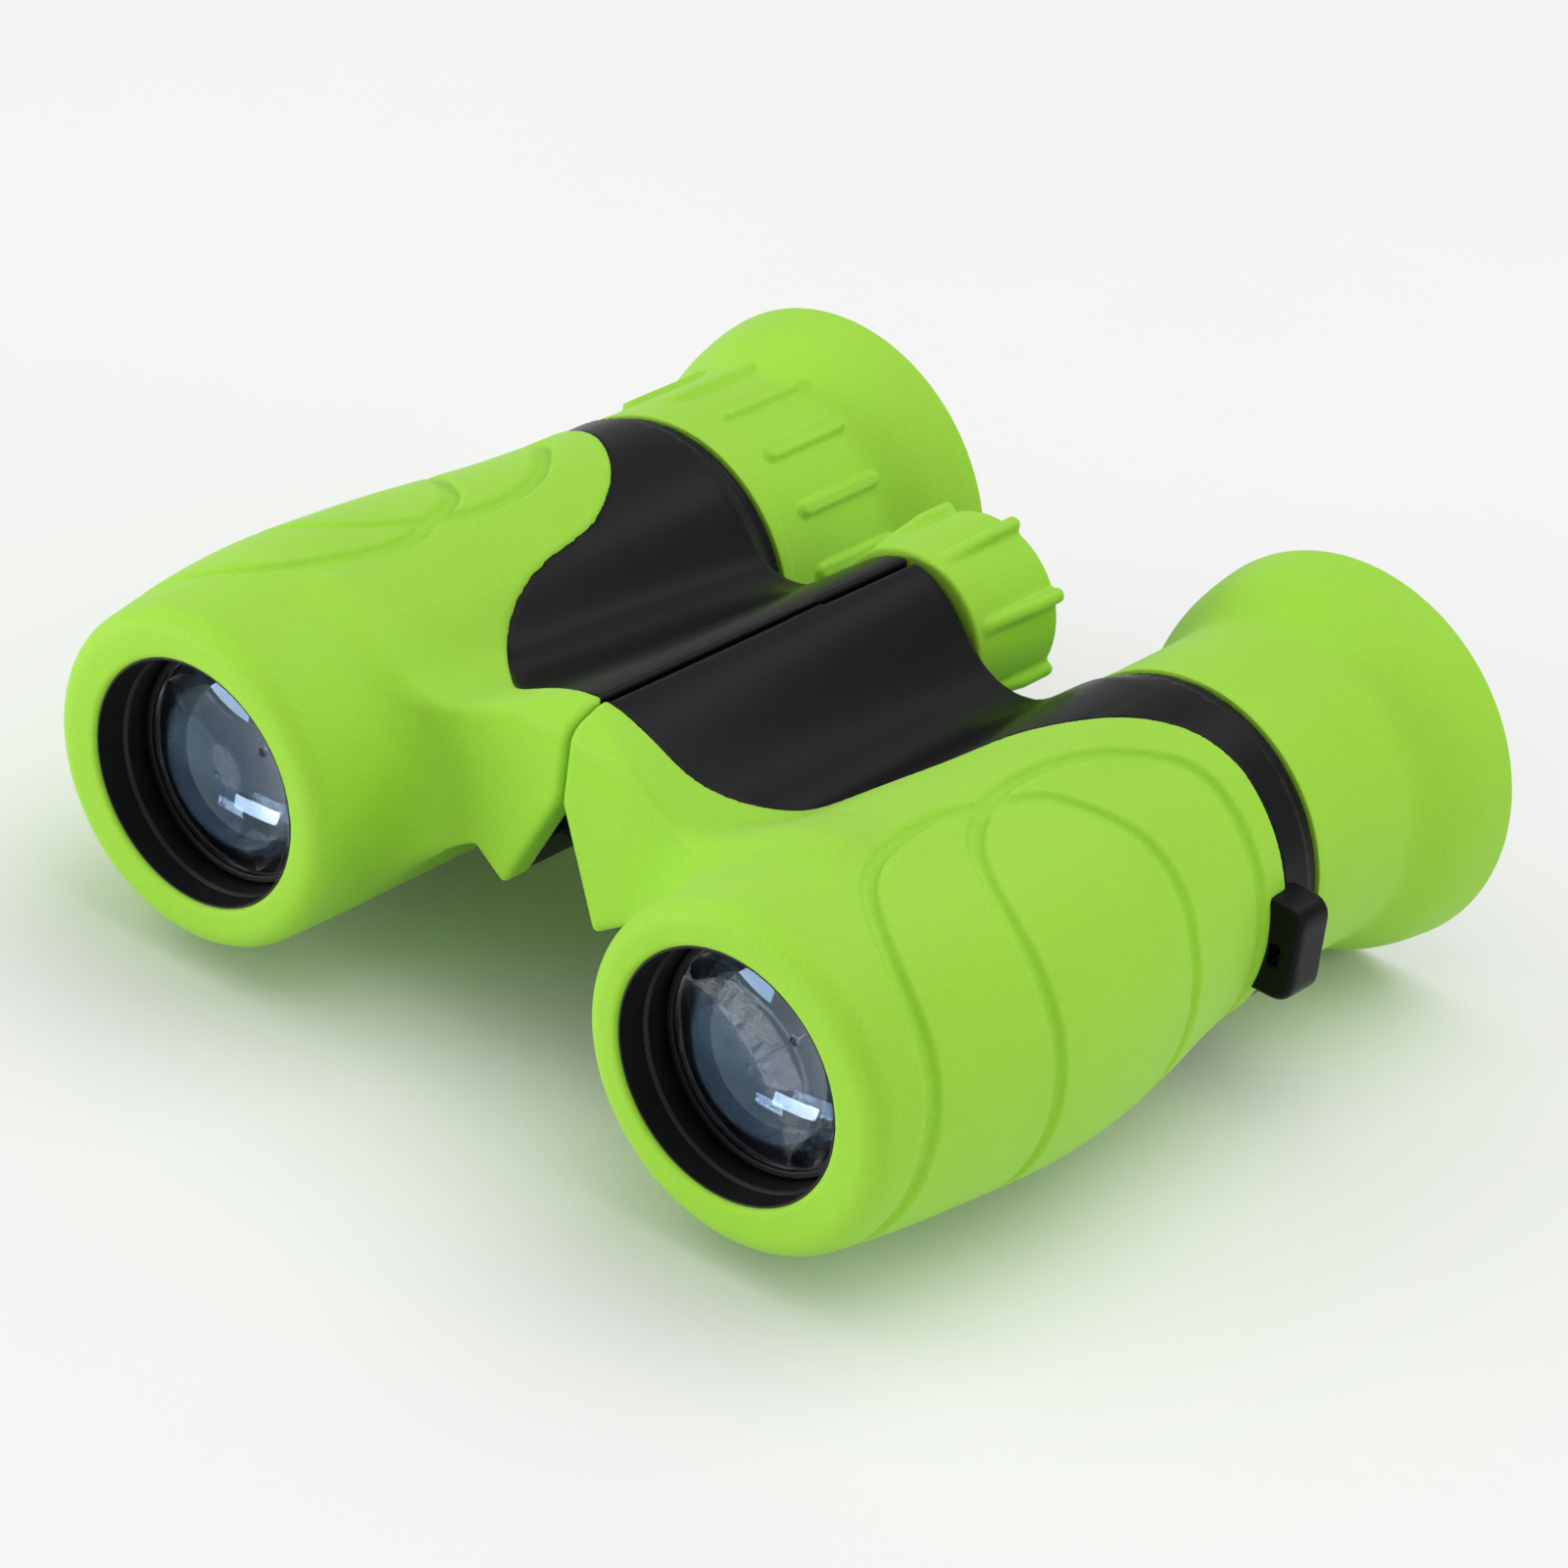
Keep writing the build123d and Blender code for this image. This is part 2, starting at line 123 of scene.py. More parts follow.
# Barrel armour as circles: distance from the front, radius, centre outside and below the axis.
BARREL = ((-3, 16.3, 0.85, 0.25), (8, 17.55, 1.95, 0.3), (19, 18.0, 2.8, 0.45), (30, 17.9, 3.35, 1.1),
          (40, 17.55, 3.0, 1.2), (50, 16.95, 1.85, 1.0), (58, 16.6, 0.75, 0.55), (64, 16.55, 0.2, 0.15))
# Top of the bridge from the seam into the barrel, at its front and rear ends: x, z.
TOP_FRONT = ((-1, 17.75), (0.5, 17.7), (7, 15.6), (12.3, 12.8), (16, 11.6), (20, 12), (24, 14), (28, 15))
TOP_REAR = ((-1, 17.2), (1.6, 17.0), (5.7, 14.6), (10.1, 10.4), (14.6, 8.9), (20.2, 11), (24, 14), (28, 15))
# Underside of the bridge: x, z.
UNDER = ((-20, -3.6), (5.3, -3.6), (9.5, -0.8), (15, -3.4), (60, -3.4))
# Plan outline of the bare black saddle: x, y.
SADDLE = ((-4, 18.9), (0, 18.9), (3.8, 19.0), (7, 19.3), (9.8, 19.9), (12.3, 21.4), (15.2, 24.1),
          (18.3, 27), (20.8, 29.8), (22.7, 33.1), (24, 36.6), (24.8, 40), (25.4, 43.8), (26.2, 47.6),
          (27.9, 51.3), (30.5, 55.2), (33.9, 58.4), (38.1, 61), (43, ARMOUR_END), (60, ARMOUR_END + 2))
# Grooves moulded into the rubber: distance from the front and angle up from the outside, degrees.
LEAF = (((5.5, -52), (5.2, -30), (5.6, -6), (6.5, 25), (7.0, 50), (9.3, 72), (14, 88.5), (21.5, 98),
         (28, 100.5), (33, 96), (37.2, 91), (40.6, 80), (43.5, 65), (45.2, 45), (44.9, 20), (44, -8),
         (42.3, -32), (40.5, -52)),
        ((22.4, -52), (22.3, -25), (22.3, 5), (22, 45), (24, 74), (28, 88), (33, 96), (38, 99.5), (43.3, 98),
         (48.4, 92), (52.7, 81), (55.8, 70.5), (57.6, 50), (58, 20), (57.9, -20), (57.5, -52)))
GROOVE_WIDE = 1.0            # half width
GROOVE_DEEP = 0.98
GROOVE_SUNK = 0.35           # the groove's centre line runs this far under the surface


def row(points):
    """Optical frame in millimetres to the row frame in metres."""
    return np.asarray(points) * MM + ORIGIN


# ---------------------------------------------------------------- curves and fields
def natural(knots, values):
    """Natural cubic spline through values at the knots, as a function that holds its end values."""
    t = np.array(knots, float)
    v = np.array(values, float).reshape(len(t), -1)
    h = np.diff(t)
    n = len(t)
    system = np.eye(n)
    right = np.zeros_like(v)
    for i in range(1, n - 1):
        system[i, i - 1:i + 2] = h[i - 1], 2 * (h[i - 1] + h[i]), h[i]
        right[i] = 6 * ((v[i + 1] - v[i]) / h[i] - (v[i] - v[i - 1]) / h[i - 1])
    bend = np.linalg.solve(system, right)

    def at(where):
        w = np.clip(where, t[0], t[-1])
        i = np.clip(np.searchsorted(t, w) - 1, 0, n - 2)
        a = (t[i + 1] - w) / h[i]
        b = 1 - a
        out = []
        for k in range(v.shape[1]):
            curve = a * v[i, k] + b * v[i + 1, k]
            curve = curve + ((a ** 3 - a) * bend[i, k] + (b ** 3 - b) * bend[i + 1, k]) * h[i] ** 2 / 6
            out.append(curve)
        return out[0] if len(out) == 1 else out
    return at


def through(points, step):
    """Points along a smooth curve through the given ones, about step apart."""
    p = np.array(points, float)
    t = np.r_[0, np.cumsum(np.linalg.norm(np.diff(p, axis=0), axis=1))]
    at = natural(t, p)
    return np.array(at(np.linspace(0, t[-1], max(2, int(t[-1] / step))))).T


def graph(points):
    """Single-valued smooth curve through (x, value) points."""
    xs, values = zip(*points)
    return natural(xs, values)


def soft_min(a, b, k):
    """Union that fills its corner over a length k."""
    h = np.clip(0.5 + 0.5 * (b - a) / k, 0, 1)
    return b * (1 - h) + a * h - k * h * (1 - h)


def round_max(a, b, r):
    """Intersection whose edge is rounded with radius r."""
    return np.minimum(-r, np.maximum(a, b)) + np.hypot(np.maximum(a + r, 0), np.maximum(b + r, 0))


def rod(x, y, z, radius, y0, y1, cx=0.0, cz=0.0, edge=0.0):
    """Cylinder along Y."""
    side = np.hypot(x - cx, z - cz) - radius
    ends = np.abs(y - (y0 + y1) / 2) - (y1 - y0) / 2
    return round_max(side, ends, edge) if edge else np.maximum(side, ends)


def ball_box(x, y, z, low, high, r):
    """Box with corners low and high, rounded with radius r."""
    mid = [(a + b) / 2 for a, b in zip(low, high)]
    half = [(b - a) / 2 - r for a, b in zip(low, high)]
    q = [np.abs(c - m) - h for c, m, h in zip((x, y, z), mid, half)]
    outside = np.sqrt(sum(np.maximum(c, 0) ** 2 for c in q))
    return outside + np.minimum(np.maximum(q[0], np.maximum(q[1], q[2])), 0) - r


barrel_at = natural([s[0] for s in BARREL], [s[1:] for s in BARREL])
front_top = graph(TOP_FRONT)
rear_top = graph(TOP_REAR)
saddle_x, saddle_y = through(SADDLE, 0.3).T
saddle_slope = np.gradient(saddle_y, saddle_x)


def bridge_top(x, y):
    """Height of the bridge's top."""
    t = np.clip((y - BEVEL_Y) / (ARM_REAR - BEVEL_Y), 0, 1)
    return front_top(x) * (1 - t) + rear_top(x) * t


def bridge(x, y, z):
    """Arm of the bridge on one half, from the seam into the barrel."""
    e = 0.05
    slope = (bridge_top(x + e, y) - bridge_top(x - e, y)) / (2 * e)
    top = (z - bridge_top(x, y)) / np.sqrt(1 + slope ** 2)
    bevel = (z - BEVEL_Z) * math.cos(BEVEL) - (y - BEVEL_Y) * math.sin(BEVEL)
    front = round_max(bevel, ARM_FRONT - y, 1.6)
    soft = np.clip((22 - y) / 5, 0, 1)
    side = round_max(SEAM - x, (HINGE_Z - z) * math.sin(V_ANGLE) - x * math.cos(V_ANGLE) + SEAM, 0.4)
    under = (np.interp(x, *zip(*UNDER)) - z) * 0.9
    body = round_max(round_max(top, y - ARM_REAR, 0.5), side, 0.25 + 0.2 * soft)
    body = round_max(body, under, 0.7)
    body = round_max(body, front, 0.7)
    return np.maximum(body, x - 28)


def barrel(x, y, z):
    """Barrel with its leaning front rim."""
    radius, out, low = barrel_at(y)
    skin = np.hypot(x - AXIS_X - out, z + low) - radius
    core = np.hypot(x - AXIS_X, z) - RING_R - PROUD
    body = soft_min(skin, core, 2.0)
    front = -z * math.sin(FRONT_TILT) - y * math.cos(FRONT_TILT)
    return round_max(body, front, 2.3)


def outer(x, y, z):
    """Outside of one half, up to the rear of the bare ring."""
    blend = 2.0 + 5.0 * np.clip((24 - y) / 8, 0, 1)
    return soft_min(barrel(x, y, z), bridge(x, y, z), blend)


def bare(x, y, z):
    """Negative where the plastic shows: the saddle, the ring and the hinge side of the bridge."""
    edge = np.interp(x, saddle_x, saddle_y)
    slope = np.interp(x, saddle_x, saddle_slope)
    saddle = np.maximum((edge - y) / np.sqrt(1 + slope ** 2), 0.5 - z)
    hinge = np.maximum(np.maximum(PLATE_END - y, x - 10), z - 12)
    return np.minimum(np.minimum(saddle, hinge), ARMOUR_END - y)


def groove(x, y, z, depth):
    """How far the leaf grooves sink the surface; depth is the field there."""
    out = np.zeros(np.broadcast_shapes(x.shape, y.shape, z.shape))
    x, y, z = (np.broadcast_to(c, out.shape) for c in (x, y, z))
    near = (np.abs(depth) < 1.6) & (y < 60)
    p = np.stack([x[near], y[near], z[near]], 1).astype(np.float32)
    ends = groove_points[:, :3].astype(np.float32)
    a, b = ends[:-1], ends[1:]
    whole = ~np.isnan(a[:, 0] + b[:, 0])
    a, b = a[whole], b[whole]
    fade = np.clip((groove_points[:-1, 3][whole] + 50) / 14, 0, 1)
    middle = (a + b) / 2
    sunk = np.zeros(len(p))
    for start in range(0, len(p), 20000):
        q = p[start:start + 20000]
        far = (q ** 2).sum(1)[:, None] - 2 * q @ middle.T + (middle ** 2).sum(1)[None]
        best = np.zeros(len(q))
        for _ in range(2):
            k = far.argmin(1)
            ab = b[k] - a[k]
            t = np.clip(((q - a[k]) * ab).sum(1) / (ab ** 2).sum(1), 0, 1)
            d = np.linalg.norm(q - a[k] - t[:, None] * ab, axis=1)
            best = np.maximum(best, fade[k] * np.clip(1 - (d / GROOVE_WIDE) ** 2, 0, 1) ** 1.5)
            far[np.arange(len(q))[:, None], np.clip(k[:, None] + np.arange(-3, 4), 0, len(a) - 1)] = 1e9
        sunk[start:start + 20000] = best
    out[near] = sunk * GROOVE_DEEP
    return out


def armour(x, y, z):
    """Rubber skin of one half."""
    shape = outer(x, y, z)
    skin = shape + groove(x, y, z, shape) * np.clip(bare(x, y, z) - 0.5, 0, 1)
    rho = np.hypot(x - AXIS_X, z)
    body = round_max(skin, -bare(x, y, z), 0.55)
    body = round_max(body, MOUTH_R - rho, 0.6)
    inside = np.maximum(shape + SKIN, 2.6 - y)
    tube = np.maximum(rho - TUBE_R, TUBE_STEP - y - z * math.tan(FRONT_TILT))
    body = np.maximum(body, -np.minimum(inside, tube))
    return np.maximum(body, -rod(x, y, z, CAVITY_R, PLATE_END, 200, 0, HINGE_Z))


def bar_to_axis(x, y, z, y0, y1, half, near, short):
    """Bar from the hinge axis towards the optical axis."""
    reach = math.hypot(AXIS_X, HINGE_Z)
    along = (x * AXIS_X - (z - HINGE_Z) * HINGE_Z) / reach
    across = (x * HINGE_Z + (z - HINGE_Z) * AXIS_X) / reach
    body = np.maximum(np.abs(across) - half, np.abs(y - (y0 + y1) / 2) - (y1 - y0) / 2)
    return np.maximum(body, np.maximum(near - along, along - reach + short))


def housing(plate, knuckles):
    """Field of one half's black body, with its hinge knuckles as (y0, y1, bore)."""
    def field(x, y, z):
        shape = outer(x, y, z)
        rho = np.hypot(x - AXIS_X, z)
        shown = round_max(shape + PROUD, bare(x, y, z) - 0.3, 0.3)
        core = np.maximum(shape + SKIN + 0.05, 2.6 - y)
        body = np.minimum(shown, core)
        body = np.maximum(body, y - 66.5)
        body = np.minimum(body, rod(x, y, z, RING_R, 60.5, 68.1, AXIS_X, 0, 0.25))
        body = np.minimum(body, rod(x, y, z, 14.4, 60, 74, AXIS_X))
        body = np.maximum(body, -rod(x, y, z, CAVITY_R, PLATE_END + 0.2, 200, 0, HINGE_Z))
        body = np.maximum(body, -bar_to_axis(x, y, z, plate - 1.9, plate + 3.9, 1.9, 4.9, 11))
        for y0, y1, bore in knuckles:
            web = np.maximum(np.abs(y - (y0 + y1) / 2) - (y1 - y0) / 2, np.abs(z - HINGE_Z) - 3.4)
            web = np.maximum(web, np.abs(x - 5.6) - 2.6)
            ear = np.minimum(rod(x, y, z, KNUCKLE_R, y0, y1, 0, HINGE_Z, 0.25), web)
            body = np.minimum(body, np.maximum(ear, bore - np.hypot(x, z - HINGE_Z)))
        hollow = rod(x, y, z, TUBE_R, -9, TUBE_END, AXIS_X)
        hollow = np.minimum(hollow, rod(x, y, z, 12.3, 5, 45, AXIS_X))
        hollow = np.minimum(hollow, rod(x, y, z, 13.6, 43.2, 66, AXIS_X))
        hollow = np.minimum(hollow, rod(x, y, z, 13.0, 65, 90, AXIS_X))
        return np.maximum(body, -hollow)
    return field


def lug(x, y, z):
    """Loop for the neck strap."""
    loop = ball_box(x, y, z, LUG_LOW, LUG_HIGH, 0.5)
    corner = ball_box(x, y, z, (LUG_LOW[0], 58, LUG_LOW[2]), (LUG_HIGH[0], 70, LUG_HIGH[2]), 2.4)
    loop = round_max(loop, corner, 0.5)
    slot = ball_box(x, y, z, SLOT_LOW, SLOT_HIGH, 0.3)
    loop = round_max(loop, -slot, 0.15)
    return np.maximum(loop, RING_R - 0.3 - np.hypot(x - AXIS_X, z))


def tyre(x, y, z):
    """Ribbed rubber tyre of the focus wheel."""
    body = rod(x, y, z, TYRE_R, TYRE_FRONT, TYRE_REAR, 0, HINGE_Z, 0.35)
    for k in range(TYRE_RIBS):
        a = math.radians(TYRE_PHASE + 360 / TYRE_RIBS * k)
        out = x * math.cos(a) + (z - HINGE_Z) * math.sin(a)
        across = -x * math.sin(a) + (z - HINGE_Z) * math.cos(a)
        rise = 0.9 * np.clip((y - 67.0) / 7, 0, 1)
        rib = ball_box(out - rise, y, across, (6.0, 66.6, -0.75), (9.35, 78.5, 0.75), 0.65)
        body = soft_min(body, rib, 0.5)
    hole = np.hypot(x, z - HINGE_Z) - 7.0
    return round_max(body, -hole, 0.3)


# ---------------------------------------------------------------- meshing
CYCLE = ((0, 1, 2), (1, 2, 0), (2, 0, 1))


def surface(field, low, high, cell, rounds=3):
    """Closed quad mesh of field = 0 inside the box: surface nets, evened out and put on the surface."""
    axes = [np.arange(a, b + cell, cell) for a, b in zip(low, high)]
    grid = [c.reshape([-1 if i == k else 1 for i in range(3)]) for k, c in enumerate(axes)]
    value = field(*grid)
    inside = value < 0
    shape = np.array(value.shape)
    start = np.array([a[0] for a in axes])
    sums = np.zeros((value.size, 3), np.float32)
    counts = np.zeros(value.size, np.float32)
    quads = []
    for a, b, c in CYCLE:
        head = [slice(None)] * 3
        tail = [slice(None)] * 3
        head[a], tail[a] = slice(0, -1), slice(1, None)
        head, tail = tuple(head), tuple(tail)
        at = np.argwhere(inside[head] != inside[tail])
        step = np.eye(3, dtype=int)
        v0 = value[tuple(at.T)]
        v1 = value[tuple((at + step[a]).T)]
        point = at.astype(float)
        point[:, a] += v0 / (v0 - v1)
        ring = []
        for sb, sc in ((0, 0), (-1, 0), (-1, -1), (0, -1)):
            index = np.ravel_multi_index(tuple((at + sb * step[b] + sc * step[c]).T), tuple(shape))
            np.add.at(sums, index, point)
            np.add.at(counts, index, 1)
            ring.append(index)
        ring = np.stack(ring, 1)
        ring[v0 > 0] = ring[v0 > 0][:, ::-1]
        quads.append(ring)
    quads = np.concatenate(quads)
    used, quads = np.unique(quads, return_inverse=True)
    quads = quads.reshape(-1, 4)
    verts = sums[used] / counts[used][:, None] * cell + start
    neighbours = np.concatenate([quads[:, [0, 1]], quads[:, [1, 2]], quads[:, [2, 3]], quads[:, [3, 0]]])

    def onto(points, times):
        for _ in range(times):
            f, n, size = slope_of(field, points)
            points = points - n * np.clip(f / size, -cell, cell)[:, None]
        return points

    for _ in range(rounds):
        total = np.zeros_like(verts)
        count = np.zeros(len(verts))
        for i, j in (neighbours.T, neighbours[:, ::-1].T):
            np.add.at(total, i, verts[j])
            np.add.at(count, i, 1)
        verts = onto(verts + 0.5 * (total / count[:, None] - verts), 1)
    verts = onto(verts, 1)
    return verts, quads


def slope_of(field, points):
    """Field, unit gradient and its size at points."""
    e = 0.02
    x, y, z = points.T
    f = field(x, y, z)
    g = np.stack([field(x + e, y, z) - field(x - e, y, z), field(x, y + e, z) - field(x, y - e, z),
                  field(x, y, z + e) - field(x, y, z - e)], 1) / (2 * e)
    size = np.maximum(np.linalg.norm(g, axis=1), 0.2)
    return f, g / size[:, None], size


groove_points = []
for leaf in LEAF:
    for y, angle in through(leaf, 0.7):
        radius, out, low = barrel_at(y)
        a = math.radians(angle)
        groove_points.append((AXIS_X + out + radius * math.cos(a), y, -low + radius * math.sin(a), angle))
    groove_points.append((np.nan,) * 4)
groove_points = np.array(groove_points[:-1])
for _ in range(4):
    depth, way, size = slope_of(outer, groove_points[:, :3])
    groove_points[:, :3] -= way * ((depth + GROOVE_SUNK) / size)[:, None]


def add_mesh(name, verts, faces, mirrored=False):
    """Smooth-shaded mesh object from optical-frame points; mirrored for the user's right half."""
    verts = np.array(verts, float)
    faces = np.array(faces)
    if mirrored:
        verts[:, 0] *= -1
        faces = faces[:, ::-1]
    mesh = bpy.data.meshes.new(name)
    mesh.vertices.add(len(verts))
    mesh.vertices.foreach_set("co", row(verts).astype(np.float32).ravel())
    mesh.loops.add(faces.size)
    mesh.loops.foreach_set("vertex_index", faces.ravel().astype(np.int32))
    mesh.polygons.add(len(faces))
    mesh.polygons.foreach_set("loop_start", np.arange(0, faces.size, faces.shape[1], dtype=np.int32))
    mesh.update(calc_edges=True)
    mesh.polygons.foreach_set("use_smooth", np.ones(len(faces), bool))
    mesh.validate()
    obj = bpy.data.objects.new(name, mesh)
    scene.collection.objects.link(obj)
    return obj


def lathe(points, segments=180, relief=None):
    """Closed profile of (radius, y) points turned round the Y axis: verts and quads."""
    profile = np.array(points, float)
    angle = np.linspace(0, 2 * math.pi, segments, endpoint=False)
    radius = np.repeat(profile[:, 0][:, None], segments, 1)
    along = np.repeat(profile[:, 1][:, None], segments, 1)
    if relief:
        radius = radius + relief(angle[None, :], along, radius)
    verts = np.stack([radius * np.cos(angle), along, radius * np.sin(angle)], 2).reshape(-1, 3)
    i, j = np.meshgrid(np.arange(len(profile)), np.arange(segments), indexing="ij")
    i2, j2 = (i + 1) % len(profile), (j + 1) % segments
    quads = np.stack([i * segments + j, i2 * segments + j, i2 * segments + j2, i * segments + j2], 2)
    return verts, quads.reshape(-1, 4)


def filleted(corners, fine=6):
    """Closed outline through (radius, y, fillet) corners, anticlockwise in (radius, y)."""
    out = []
    n = len(corners)
    for i, (r, y, fillet) in enumerate(corners):
        p = np.array([r, y])
        before = np.array(corners[i - 1][:2]) - p
        after = np.array(corners[(i + 1) % n][:2]) - p
        u, w = before / np.linalg.norm(before), after / np.linalg.norm(after)
        turn = math.acos(np.clip(u @ w, -1, 1))
        if fillet <= 0 or turn > math.pi - 0.02:
            out.append(p)
            continue
        back = min(fillet / math.tan(turn / 2), 0.48 * np.linalg.norm(before), 0.48 * np.linalg.norm(after))
        for t in np.linspace(0, 1, fine):
            out.append((1 - t) ** 2 * (p + u * back) + 2 * t * (1 - t) * p + t ** 2 * (p + w * back))
    return np.array(out)


def densified(outline, step):
    """The same closed outline with points no further apart than step."""
    out = []
    for p, q in zip(outline, np.roll(outline, -1, axis=0)):
        parts = max(1, int(math.ceil(np.linalg.norm(q - p) / step)))
        out += [p + (q - p) * k / parts for k in range(parts)]
    return np.array(out)


# ---------------------------------------------------------------- materials
def new_material(name, **sockets):
    """Principled material and helpers to add nodes to it."""
    material = bpy.data.materials.new(name)
    material.use_nodes = True
    nodes, links = material.node_tree.nodes, material.node_tree.links
    shader = nodes["Principled BSDF"]
    for socket, value in sockets.items():
        shader.inputs[socket.replace("_", " ")].default_value = value
    return material, nodes, links, shader


def noise(nodes, links, scale, detail=2.0):
    """Noise texture in object coordinates; scale in features per metre."""
    place = nodes.new("ShaderNodeTexCoord")
    texture = nodes.new("ShaderNodeTexNoise")
    texture.inputs["Scale"].default_value = scale
    texture.inputs["Detail"].default_value = detail
    links.new(place.outputs["Object"], texture.inputs["Vector"])
    return texture.outputs["Fac"]


def ramp(nodes, links, source, low, high, dark, light):
    """Colour ramp from dark to light between two values."""
    node = nodes.new("ShaderNodeValToRGB")
    node.color_ramp.elements[0].position, node.color_ramp.elements[1].position = low, high
    node.color_ramp.elements[0].color, node.color_ramp.elements[1].color = (*dark, 1), (*light, 1)
    links.new(source, node.inputs["Fac"])
    return node.outputs["Color"]


def spread(nodes, links, source, low, high):
    """Value mapped from 0.3..0.7 to low..high."""
    node = nodes.new("ShaderNodeMapRange")
    for socket, value in (("From Min", 0.3), ("From Max", 0.7), ("To Min", low), ("To Max", high)):
        node.inputs[socket].default_value = value
    links.new(source, node.inputs["Value"])
    return node.outputs["Result"]


def bump(nodes, links, shader, source, height):
    """Bump of a height in metres on the shader's normal."""
    node = nodes.new("ShaderNodeBump")
    node.inputs["Distance"].default_value = height
    node.inputs["Strength"].default_value = 1.0
    links.new(source, node.inputs["Height"])
    links.new(node.outputs["Normal"], shader.inputs["Normal"])


def plain_finish(name, dark, light, rough, grain, height, **sockets):
    """Material with two mixed tones, varied roughness and a fine bump; grain in features per metre."""
    material, nodes, links, shader = new_material(name, **sockets)
    tone = noise(nodes, links, grain / 12, 3)
    links.new(ramp(nodes, links, tone, 0.3, 0.7, dark, light), shader.inputs["Base Color"])
    fine = noise(nodes, links, grain, 2)
    links.new(spread(nodes, links, fine, rough[0], rough[1]), shader.inputs["Roughness"])
    bump(nodes, links, shader, fine, height)
    return material


def green_rubber():
    """Soft matte rubber with a very fine speckle."""
    material, nodes, links, shader = new_material("green_rubber_soft", Specular_IOR_Level=0.32,
                                                  Sheen_Weight=0.08, Sheen_Roughness=0.6)
    fine = noise(nodes, links, 2600, 2)
    broad = noise(nodes, links, 45, 3)
    base = ramp(nodes, links, broad, 0.35, 0.65, (0.325, 0.665, 0.028), (0.345, 0.700, 0.034))
    speckle = nodes.new("ShaderNodeMixRGB")
    speckle.blend_type = "MULTIPLY"
    speckle.inputs["Fac"].default_value = 1.0
    links.new(base, speckle.inputs["Color1"])
    grain = ramp(nodes, links, fine, 0.35, 0.62, (0.93, 0.95, 0.90), (1.0, 1.0, 1.0))
    links.new(grain, speckle.inputs["Color2"])
    links.new(speckle.outputs["Color"], shader.inputs["Base Color"])
    links.new(spread(nodes, links, fine, 0.52, 0.66), shader.inputs["Roughness"])
    bump(nodes, links, shader, fine, 0.000012)
    return material


def lens_glass(name, tint, reflection, ior=1.5, mirror=0.0):
    """Coated lens."""
    material, nodes, links, shader = new_material(
        name, Base_Color=(*tint, 1), Roughness=0.0, IOR=ior, Transmission_Weight=1.0,
        Specular_Tint=(*reflection, 1), Metallic=mirror)
    dust = noise(nodes, links, 900, 3)
    links.new(spread(nodes, links, dust, 0.0, 0.012), shader.inputs["Roughness"])
    return material


FINISH = {
    "green_rubber": green_rubber(),
    "black_plastic": plain_finish("black_plastic_satin", (0.0036, 0.0037, 0.0046), (0.0048, 0.0049, 0.0060),
                                  (0.28, 0.36), 3200, 0.000006, Specular_IOR_Level=0.12),
    "black_inner_plastic": plain_finish("black_plastic_inner", (0.006, 0.006, 0.007), (0.009, 0.009, 0.010),
                                        (0.42, 0.55), 2400, 0.000008, Specular_IOR_Level=0.4),
    "coated_glass": lens_glass("lens_coated", (0.97, 0.98, 1.0), (0.35, 0.6, 0.95)),
    "prism_glass": lens_glass("prism_clear", (0.62, 0.80, 1.0), (0.8, 0.9, 1.0), 1.6, 0.4),
    "steel": plain_finish("steel_turned", (0.42, 0.43, 0.45), (0.56, 0.57, 0.59), (0.25, 0.42), 1800,
                          0.000006, Metallic=1.0),
    "brass": plain_finish("brass_turned", (0.62, 0.45, 0.18), (0.78, 0.60, 0.27), (0.25, 0.40), 1800,
                          0.000006, Metallic=1.0),
    "aluminium": plain_finish("aluminium_stamped", (0.52, 0.53, 0.55), (0.66, 0.67, 0.69), (0.32, 0.5), 1500,
                              0.000008, Metallic=1.0),
}
slot_of = {part["node"]: part["material_slot"] for part in frame["record"]["subparts"]}
body_of = {node: body for body, nodes in frame["record"]["behaviour"]["bodies"].items() for node in nodes}
for node, obj in frame["nodes"].items():
    obj.data.materials.clear()
    obj.data.materials.append(FINISH[slot_of[node]])


def stand_for(obj, node):
    """Gives a new piece its node's body, slot and finish."""
    obj.data.materials.append(FINISH[slot_of[node]])
    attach(obj, body_of[node])
    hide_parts(node)
    return obj


# ---------------------------------------------------------------- rubber armour and housings
COARSE = 0.42
armour_mesh = surface(armour, (-0.6, -2.4, -21.5), (56, 64.5, 20.5), COARSE)
for side in ("left", "right"):
    stand_for(add_mesh(side + "_rubber_armour", *armour_mesh, mirrored=side == "right"), side + "_armour")

for side in ("left", "right"):
    mesh = surface(housing(PLATE[side], KNUCKLES[side]), (-8, 1.5, -21.5), (56, 75, 20.5), COARSE)
    stand_for(add_mesh(side + "_body_shell", *mesh, mirrored=side == "right"), side + "_housing")

lug_mesh = surface(lug, (43, 58.6, -8), (55, 67, 5), 0.22)
for side in ("left", "right"):
    stand_for(add_mesh(side + "_strap_loop", *lug_mesh, mirrored=side == "right"), side + "_strap_lug")

tyre_mesh = surface(tyre, (-11.5, 65, -4), (11.5, 79.5, 20.5), 0.28)
stand_for(add_mesh("focus_wheel_tyre", *tyre_mesh), "focus_wheel_grip")


